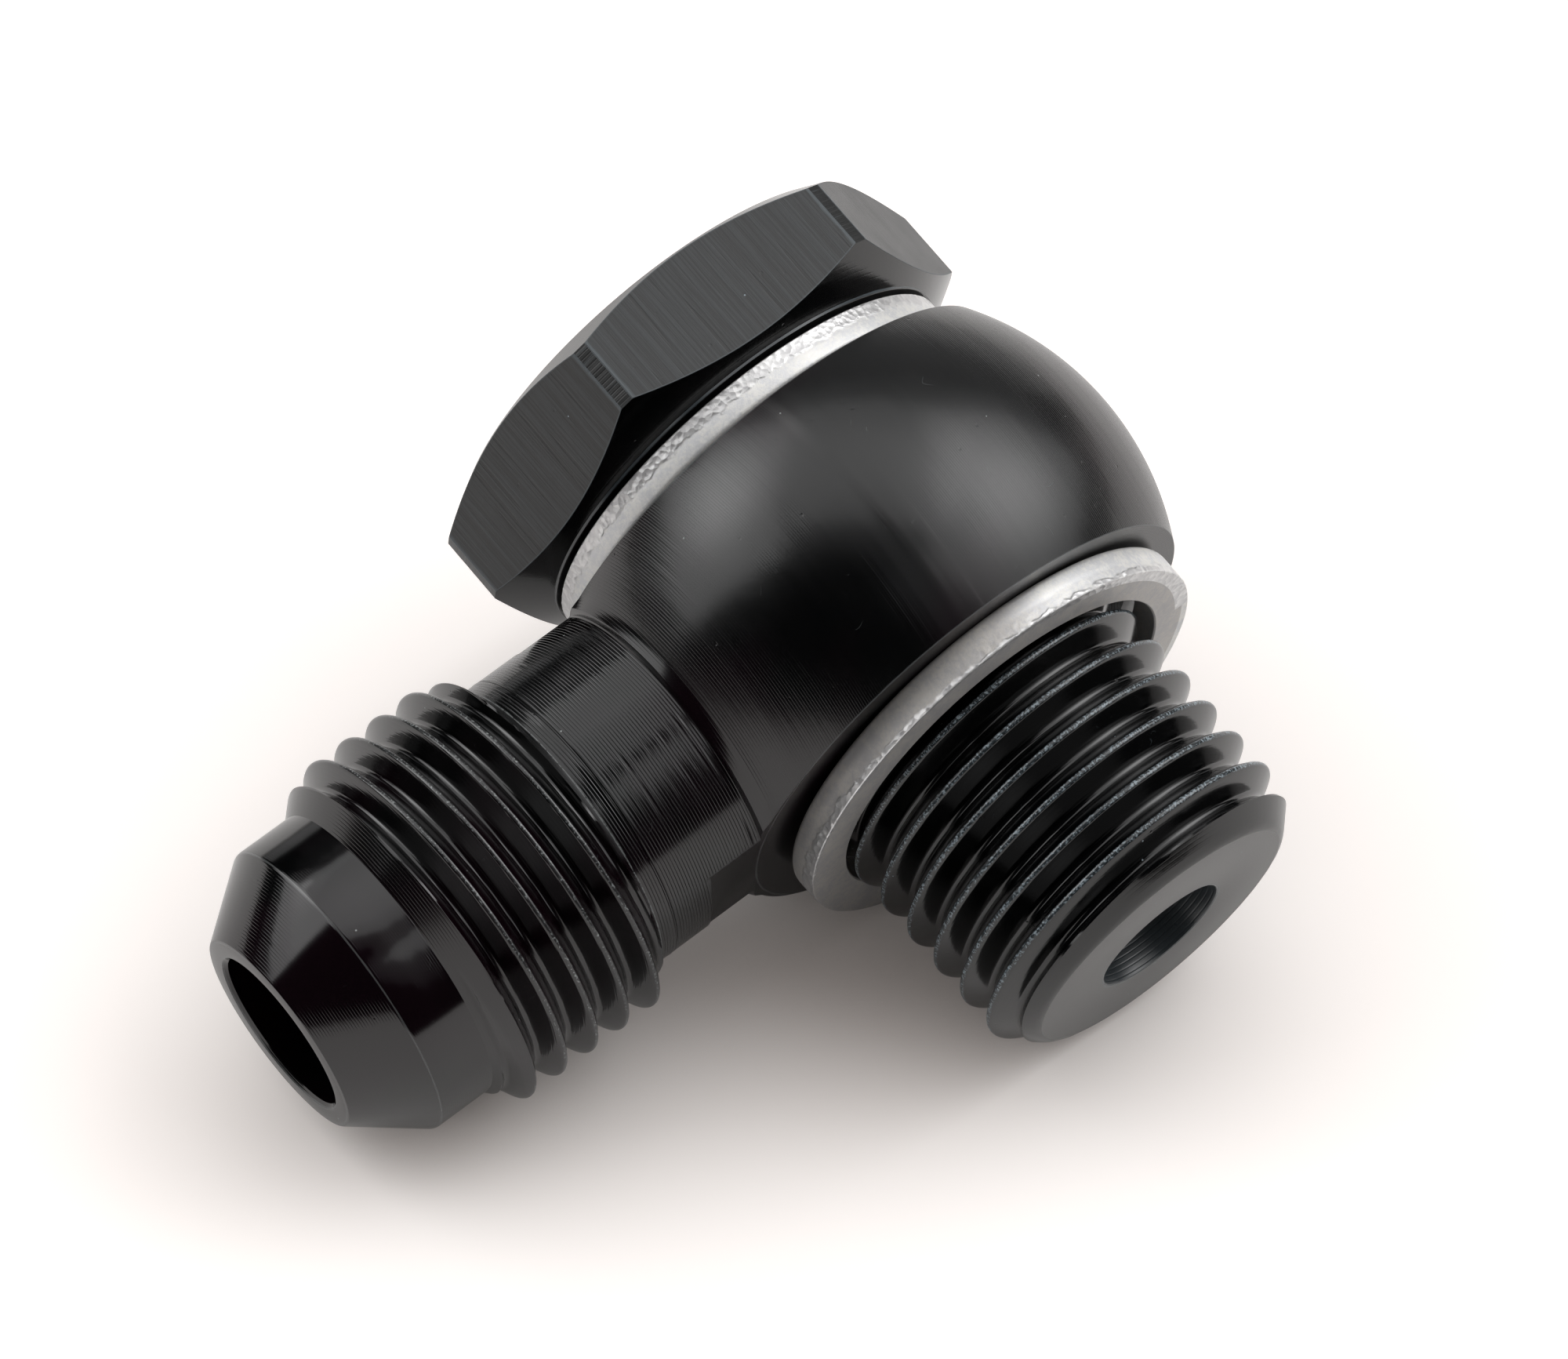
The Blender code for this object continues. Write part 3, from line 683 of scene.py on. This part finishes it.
def boltMaterial(sizes, finish):
    material, tree, shader = newMaterial("blackAnodisedBolt")
    position, x, y, z = ownPosition(tree)
    radius = radiusOf(tree, y, z)

    # The distance to the nearest pair of flats tells the flats from the turned surfaces.
    reaches = []
    for step in range(3):
        turn = math.radians(60 * step + sizes["turn"])
        dot = tree.nodes.new("ShaderNodeVectorMath")
        dot.operation = "DOT_PRODUCT"
        feed(tree, dot.inputs[0], position)
        dot.inputs[1].default_value = (0, math.sin(turn), math.cos(turn))
        reaches.append(calc(tree, "ABSOLUTE", dot.outputs["Value"]))
    inHead = calc(tree, "LESS_THAN", x, sizes["seatEdge"] + 0.02)
    onFlat = calc(tree, "GREATER_THAN", largest(tree, reaches), sizes["flats"] / 2 - 0.02)
    onFlat = calc(tree, "MULTIPLY", onFlat, inHead)
    onBand = calc(tree, "MULTIPLY", calc(tree, "GREATER_THAN", radius, sizes["corner"] - 0.02), inHead)
    onEnd = calc(tree, "GREATER_THAN", x, sizes["tip"] - 0.01)
    inBore = calc(tree, "LESS_THAN", radius, sizes["bore"] + 0.05)

    turned = useGroup(tree, turningMarks, along=x, **finish["turned"])
    banded = useGroup(tree, turningMarks, along=x, **finish["banded"])
    faced = useGroup(tree, turningMarks, along=radius, **finish["faced"])
    bored = useGroup(tree, turningMarks, along=x, **finish["bored"])
    grain = cloudNoise(tree, stretched(tree, position, finish["grain"]), 1.0, 5.0, 0.7)
    scores = cloudNoise(tree, stretched(tree, position, finish["scores"]), 1.0, 2.0)
    scored = ramp(tree, scores, 0.62, 0.66)
    streak = ramp(tree, grain, 0.36, 0.68)
    marks = mixed(tree, onEnd, turned["Height"], faced["Height"])
    marks = mixed(tree, inBore, marks, bored["Height"])
    marks = mixed(tree, onBand, marks, banded["Height"])
    cuts = calc(tree, "MULTIPLY_ADD", grain, finish["grainDepth"],
                calc(tree, "MULTIPLY", scored, finish["scoreDepth"]))
    marks = mixed(tree, onFlat, marks, cuts)
    bumped(tree, shader, calc(tree, "ADD", marks, useGroup(tree, dimples, position=position)["Height"]))

    # Thin painted highlight lines, partly rubbed wear, where the flats run out into the turned chamfers and
    # corners
    fromSeat = calc(tree, "SUBTRACT", sizes["seatEdge"], x)
    seatCone = calc(tree, "ADD", calc(tree, "DIVIDE", fromSeat, finish["seatSlope"]), sizes["collar"])
    fromTop = calc(tree, "SUBTRACT", x, sizes["top"])
    topCone = calc(tree, "ADD", calc(tree, "DIVIDE", fromTop, finish["topSlope"]), sizes["topRadius"])
    envelope = calc(tree, "MINIMUM", calc(tree, "MINIMUM", seatCone, topCone), sizes["corner"])
    toEdge = calc(tree, "ABSOLUTE", calc(tree, "SUBTRACT", envelope, radius))
    patchy = cloudNoise(tree, position, 1.6, 3.0)
    rim = ramp(tree, toEdge, 0.02, calc(tree, "MULTIPLY_ADD", patchy, 0.1, 0.03), 1.0, 0.0)
    rim = calc(tree, "MULTIPLY", rim, onFlat)

    # The bolt thread crests get a painted highlight, partly wear, broken up by grit
    crest = ramp(tree, radius, *finish["crestFade"])
    crest = calc(tree, "MULTIPLY", crest, calc(tree, "GREATER_THAN", x, finish["crestFrom"]))
    crest = calc(tree, "MULTIPLY", crest, calc(tree, "LESS_THAN", radius, finish["crestEnd"]))
    crestGrit = useGroup(tree, grit, position=position, **finish["crestGrit"])["Mask"]
    crest = calc(tree, "MULTIPLY", crest, crestGrit)
    ticks = ramp(tree, cloudNoise(tree, stretched(tree, position, finish["ticks"]), 1.0, 2.0), 0.58, 0.66)
    collar = useGroup(tree, edgeWearAndHighlight, along=x, radius=radius, edgeAlong=sizes["seatEdge"] + 0.05,
                      edgeRadius=sizes["collar"], width=0.06, position=position)["Mask"]
    boreEdge = useGroup(tree, edgeWearAndHighlight, along=x, radius=radius, edgeAlong=sizes["tip"],
                        edgeRadius=sizes["bore"] + 0.1, width=0.1, position=position)["Mask"]
    plainFlat = calc(tree, "MULTIPLY", onFlat, calc(tree, "SUBTRACT", 1.0, scored))
    lines = useGroup(tree, scratches, position=position)["Mask"]
    # Wear, dust and scratches, plus painted highlights on the rims and thread crests, lighten the black
    # towards one pale colour
    wearAndHighlight = largest(tree, [
        calc(tree, "MULTIPLY", crest, finish["crestWearAndHighlight"]),
        calc(tree, "MULTIPLY", calc(tree, "MULTIPLY", onBand, ticks), finish["tickWear"]),
        calc(tree, "MULTIPLY", collar, finish["collarWear"]),
        calc(tree, "MULTIPLY", boreEdge, finish["boreEdgeWear"]),
        calc(tree, "MULTIPLY", rim, finish["rimWearAndHighlight"]),
        calc(tree, "MULTIPLY", calc(tree, "MULTIPLY", plainFlat, streak), finish["streakWear"]),
        calc(tree, "MULTIPLY", inBore, finish["boreWear"]),
        useGroup(tree, specks, position=position, density=finish["speckDensity"])["Mask"],
        calc(tree, "MULTIPLY", lines, finish["scratchWear"])])
    # The end face is coloured lighter grey as a painted reflection of the bright table
    black = blend(tree, onEnd, finish["black"], finish["paintedEndReflection"])
    feed(tree, shader.inputs["Base Color"], blend(tree, wearAndHighlight, black, finish["bare"]))

    smudge = cloudNoise(tree, position, 0.4, 4.0)
    rough = calc(tree, "MULTIPLY_ADD", smudge, 0.08, 0.1)
    rough = mixed(tree, onFlat, rough, calc(tree, "MULTIPLY_ADD", smudge, 0.14, 0.3))
    rough = mixed(tree, onBand, rough, finish["bandRoughness"])
    rough = mixed(tree, onEnd, rough, finish["endRoughness"])
    rough = mixed(tree, inBore, rough, finish["boreRoughness"])
    rough = calc(tree, "MULTIPLY_ADD", wearAndHighlight, finish["wornRoughness"], rough)
    feed(tree, shader.inputs["Roughness"], rough)
    shader.inputs["IOR"].default_value = finish["ior"]
    return material


bolt = makeBolt(boltSizes, boltThread)
finishPiece(bolt, "banjo_bolt", "bolt", boltMaterial(boltSizes, boltFinish))


# Crush washers, punched from sheet: rounded on one side, sheared, then torn towards the other

washerSizes = {
    "hole": 7.25, "rim": 8.85, "thickness": 1.3, "rollover": 0.24, "break": 0.035, "tornShare": 0.42,
    "tornIn": 0.018, "teeth": 0.012, "steps": 720, "tornRows": 6,
}
washerPlaces = {    # the port washer lies off centre and leans a little, as in use
    "headWasher": {"node": "head_washer", "tornFace": -7.06, "flip": False, "shift": (0, 0, 0), "tilt": 0.0},
    "seatWasher": {"node": "seat_washer", "tornFace": 7.21, "flip": True, "shift": (0, 0.26, -0.1),
                   "tilt": -2.7},
}
washerFinish = {
    "dull": (0.84, 0.84, 0.85, 1), "bright": (1.0, 0.985, 0.95, 1), "faceTone": (0.68, 0.66, 0.65),
    "tornDull": (0.78, 0.77, 0.77, 1), "tornBright": (1.0, 0.99, 0.98, 1),
    "plainMetal": 0.45, "tornMetal": 0.2, "tornRoughness": 0.32,
    "chipScale": 4.0, "grainDepth": 1.2e-5, "flakeDepth": 3.6e-5,
}
firstWasherSeed = 11


def makeWasher(name, sizes, spot, seed):
    random.seed(seed)
    hole, rim, thick = sizes["hole"], sizes["rim"], sizes["thickness"]
    roll, chip, torn = sizes["rollover"], sizes["break"], thick * sizes["tornShare"]
    tornRim = rim - sizes["tornIn"]
    rows = [(chip + (torn - chip) * row / sizes["tornRows"], tornRim) for row in range(sizes["tornRows"] + 1)]
    outline = [
        (0.0, hole + 0.05), (0.0, hole + 0.8), (0.0, tornRim - chip), *rows, (torn + 0.08, rim - 0.006),
        (torn + 0.17, rim), (torn + 0.3, rim), *arc((thick - roll, rim - roll), roll, 90, 0, 5),
        (thick, rim - 0.7), (thick, hole + 0.12), (thick - 0.12, hole), (torn, hole), (0.05, hole)]
    mesh = bmesh.new()
    addTurned(mesh, outline, sizes["steps"], closed=True)
    closeUp(mesh)
    for vert in mesh.verts:
        radius = math.hypot(vert.co.x, vert.co.y)
        if radius < rim - 0.2 or vert.co.z > torn + 0.02 or vert.co.z < 0.01:
            continue
        turn = math.atan2(vert.co.y, vert.co.x)
        ragged = noise.noise(Vector((math.cos(turn) * 85, math.sin(turn) * 85, vert.co.z * 3.5 + seed)))
        wide = noise.noise(Vector((math.cos(turn) * 9, math.sin(turn) * 9, seed)))
        fade = min(1.0, (torn + 0.02 - vert.co.z) / (0.6 * torn))
        shift = fade * (sizes["teeth"] * (ragged * 1.5 - 0.2) + 0.006 * wide + random.uniform(-0.01, 0.01))
        scale = (radius + min(shift, sizes["tornIn"] - 0.005)) / radius
        vert.co.x *= scale
        vert.co.y *= scale
    lean = Matrix.Rotation(math.radians(spot["tilt"]), 4, "X")
    centre = Matrix.Translation((0, 0, thick / 2))
    turn = Matrix.Translation(spot["shift"]) @ Matrix.Translation((spot["tornFace"], 0, 0))
    turn = turn @ Matrix.Rotation(math.pi if spot["flip"] else 0.0, 4, "Y") @ alongBolt
    return toObject(name, mesh, turn @ centre @ lean @ centre.inverted())


def washerMaterial(name, sizes, spot, finish):
    material, tree, shader = newMaterial(name + "Aluminium")
    position, x, y, z = ownPosition(tree)
    radius = radiusOf(tree, y, z)
    side = calc(tree, "ABSOLUTE", x)
    tornFace = abs(spot["tornFace"])
    torn = tornFace - sizes["thickness"] * sizes["tornShare"]

    grains = cloudNoise(tree, position, 6.0, 6.0, 0.75)
    patches = cloudNoise(tree, position, 0.9, 4.0, 0.6)
    chips = tree.nodes.new("ShaderNodeTexVoronoi")
    chips.inputs["Scale"].default_value = finish["chipScale"]
    feed(tree, chips.inputs["Vector"], position)
    onRim = calc(tree, "GREATER_THAN", radius, sizes["rim"] - 0.4)
    ragged = calc(tree, "MULTIPLY_ADD", cloudNoise(tree, position, 1.7, 3.0), 0.6, torn - 0.3)
    onTorn = calc(tree, "MULTIPLY", ramp(tree, calc(tree, "SUBTRACT", side, ragged), -0.06, 0.08), onRim)
    onTorn = calc(tree, "MULTIPLY", onTorn, calc(tree, "LESS_THAN", side, tornFace - 0.02))

    tone = calc(tree, "MULTIPLY_ADD", patches, 0.45, calc(tree, "MULTIPLY", grains, 0.55))
    plain = blend(tree, ramp(tree, tone, 0.42, 0.58), finish["dull"], finish["bright"])
    offFace = ramp(tree, radius, sizes["rim"] - 0.12, sizes["rim"] - 0.04)
    plain = blend(tree, offFace, stretched(tree, plain, finish["faceTone"]), plain)
    facet = tree.nodes.new("ShaderNodeSeparateColor")
    feed(tree, facet.inputs["Color"], chips.outputs["Color"])
    # Each facet of the torn band gets its own lighter or darker colour as painted glints
    glint = calc(tree, "SUBTRACT", ramp(tree, facet.outputs["Red"], 0.15, 0.75),
                 calc(tree, "MULTIPLY", chips.outputs["Distance"], 0.5))
    broken = blend(tree, glint, finish["tornDull"], finish["tornBright"])
    feed(tree, shader.inputs["Base Color"], blend(tree, onTorn, plain, broken))
    smooth = ramp(tree, grains, 0.3, 0.7, 0.38, 0.55)
    feed(tree, shader.inputs["Roughness"], mixed(tree, onTorn, smooth, finish["tornRoughness"]))
    metal = calc(tree, "MULTIPLY_ADD", onTorn, finish["tornMetal"], finish["plainMetal"])
    feed(tree, shader.inputs["Metallic"], metal)
    height = calc(tree, "MULTIPLY", grains, finish["grainDepth"])
    flakes = calc(tree, "MULTIPLY_ADD", chips.outputs["Distance"], finish["flakeDepth"], height)
    bumped(tree, shader, mixed(tree, onTorn, height, flakes))
    return material


for index, (name, spot) in enumerate(washerPlaces.items()):
    washer = makeWasher(name, washerSizes, spot, firstWasherSeed + index)
    finishPiece(washer, spot["node"], "bolt",
                washerMaterial(name, washerSizes, spot, washerFinish))


# Table, soft lamps and camera

# The table's warm glow fades under the fitting into a painted warm shadow, on top of the lamps' real shadows
tableLook = {
    "size": 6.0, "colour": (0.81, 0.805, 0.8, 1), "roughness": 0.9, "gloss": 0.1,
    "paleGlow": (0.57, 0.505, 0.47, 1), "mirroredGlow": 0.32, "shadeReach": 0.024, "shadeSamples": 6,
}
roomTone = {"colour": (0.9, 0.93, 1.0, 1), "strength": 0.012}
lamps = {
    "leftPanel": {"azimuth": -135, "elevation": 36, "width": 0.63, "height": 0.5, "glow": 1.4, "rim": 1.0},
    "leftBulb": {"azimuth": -140, "elevation": 37, "width": 0.52, "height": 0.5, "glow": 2.1, "rim": 0.0},
    "rightPanel": {"azimuth": 57, "elevation": 42, "width": 0.82, "height": 0.64, "glow": 1.15, "rim": 0.8},
    "rightBulb": {"azimuth": 66, "elevation": 44, "width": 0.68, "height": 0.7, "glow": 2.4, "rim": 0.0},
    "topPanel": {"azimuth": 140, "elevation": 79, "width": 0.7, "height": 0.57, "glow": 1.2, "rim": 0.8},
    "backFill": {"azimuth": 132, "elevation": 33, "width": 0.75, "height": 0.4, "glow": 0.25, "rim": 0.7},
    "backSweep": {"azimuth": 142, "elevation": 8, "width": 0.8, "height": 0.15, "glow": 0.6, "rim": 0.6},
}
lampDistance = 0.6
lampTarget = Vector((0, 0, 0.01))


def makeTable(look):
    mesh = bmesh.new()
    bmesh.ops.create_grid(mesh, x_segments=1, y_segments=1, size=look["size"] / 2)
    table = toObject("table", mesh)
    material, tree, shader = newMaterial("paleTable")
    shader.inputs["Base Color"].default_value = look["colour"]
    shader.inputs["Roughness"].default_value = look["roughness"]
    shader.inputs["Specular IOR Level"].default_value = look["gloss"]
    shader.inputs["Emission Color"].default_value = look["paleGlow"]
    seen = tree.nodes.new("ShaderNodeLightPath").outputs
    mirrored = calc(tree, "MULTIPLY", seen["Is Glossy Ray"], look["mirroredGlow"])
    glow = largest(tree, [seen["Is Camera Ray"], mirrored, seen["Is Transmission Ray"]])
    shade = tree.nodes.new("ShaderNodeAmbientOcclusion")    # painted shadow: the glow fades under the fitting
    shade.samples = look["shadeSamples"]
    shade.inputs["Distance"].default_value = look["shadeReach"]
    feed(tree, shader.inputs["Emission Strength"], calc(tree, "MULTIPLY", glow, shade.outputs["AO"]))
    table.data.materials.append(material)


def makeLamp(name, look, target):
    azimuth, elevation = math.radians(look["azimuth"]), math.radians(look["elevation"])
    away = Vector((math.cos(azimuth) * math.cos(elevation), math.sin(azimuth) * math.cos(elevation),
                   math.sin(elevation)))
    light = bpy.data.lights.new(name, "AREA")
    light.shape = "RECTANGLE"
    light.size, light.size_y = look["width"], look["height"]
    light.energy = look["glow"] * math.pi * look["width"] * look["height"]
    light.use_nodes = True
    tree = light.node_tree
    split = tree.nodes.new("ShaderNodeSeparateXYZ")
    tree.links.new(tree.nodes.new("ShaderNodeNewGeometry").outputs["Parametric"], split.inputs["Vector"])
    across, up = (calc(tree, "SUBTRACT", split.outputs[axis], 0.5) for axis in ("X", "Y"))
    fade = ramp(tree, radiusOf(tree, across, up), 0.0, 0.5, 1.0, look["rim"])    # brighter in the middle
    feed(tree, tree.nodes["Emission"].inputs["Strength"], fade)
    lamp = bpy.data.objects.new(name, light)
    lamp.location = target + away * lampDistance
    lamp.rotation_euler = away.to_track_quat("Z", "Y").to_euler()
    bpy.context.scene.collection.objects.link(lamp)


def makeRoom(look):
    world = bpy.data.worlds.new("room")
    world.use_nodes = True
    sky = world.node_tree.nodes["Background"]
    sky.inputs["Color"].default_value = look["colour"]
    sky.inputs["Strength"].default_value = look["strength"]
    bpy.context.scene.world = world


cameraLook = {
    "lens": 216.0, "sensor": 36.0, "eye": (92.94, -98.15, 315.59),
    "right": (0.6284, 0.7765, 0.0464), "down": (0.7293, -0.5674, -0.3822),
    "forward": (-0.2705, 0.2740, -0.9229),
}


def makeCamera(look):
    data = bpy.data.cameras.new("camera")
    data.lens = look["lens"]
    data.sensor_fit = "HORIZONTAL"
    data.sensor_width = look["sensor"]
    data.clip_start = 0.01
    camera = bpy.data.objects.new("camera", data)
    right, down, forward = (ownAxes.to_3x3() @ Vector(look[name]).normalized()
                            for name in ("right", "down", "forward"))
    turn = Matrix((right, -down, -forward)).transposed()
    camera.matrix_world = Matrix.Translation(place @ Vector(look["eye"])) @ turn.to_4x4()
    bpy.context.scene.collection.objects.link(camera)
    bpy.context.scene.camera = camera


makeTable(tableLook)
for name, look in lamps.items():
    makeLamp(name, look, lampTarget)
makeRoom(roomTone)
makeCamera(cameraLook)
bpy.context.scene.view_settings.view_transform = "Standard"
print("stage set")
